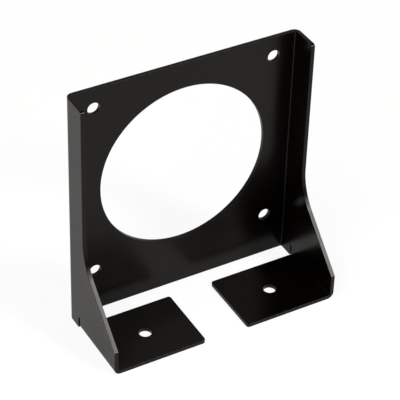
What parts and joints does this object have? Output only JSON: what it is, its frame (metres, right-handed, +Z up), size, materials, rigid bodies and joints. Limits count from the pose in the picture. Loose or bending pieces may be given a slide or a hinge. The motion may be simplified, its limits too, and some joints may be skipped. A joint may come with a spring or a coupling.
{
  "type": "pump mounting bracket",
  "caption": "Folded sheet-metal bracket: upright plate with a large round opening and corner screw holes, gusseted side flanges, and inturned feet with bolt holes.",
  "frame": {"origin": "midway between the two foot holes, on the underside of the feet", "axes": "+X across the plate, +Y from the feet towards the plate, +Z up along the plate"},
  "size_m": [0.1284, 0.051, 0.1375],
  "materials": {
    "coated_sheet": "satin black powder coat on sheet steel"
  },
  "bodies": {
    "root": {"bracket": "coated_sheet"}
  },
  "joints": []
}
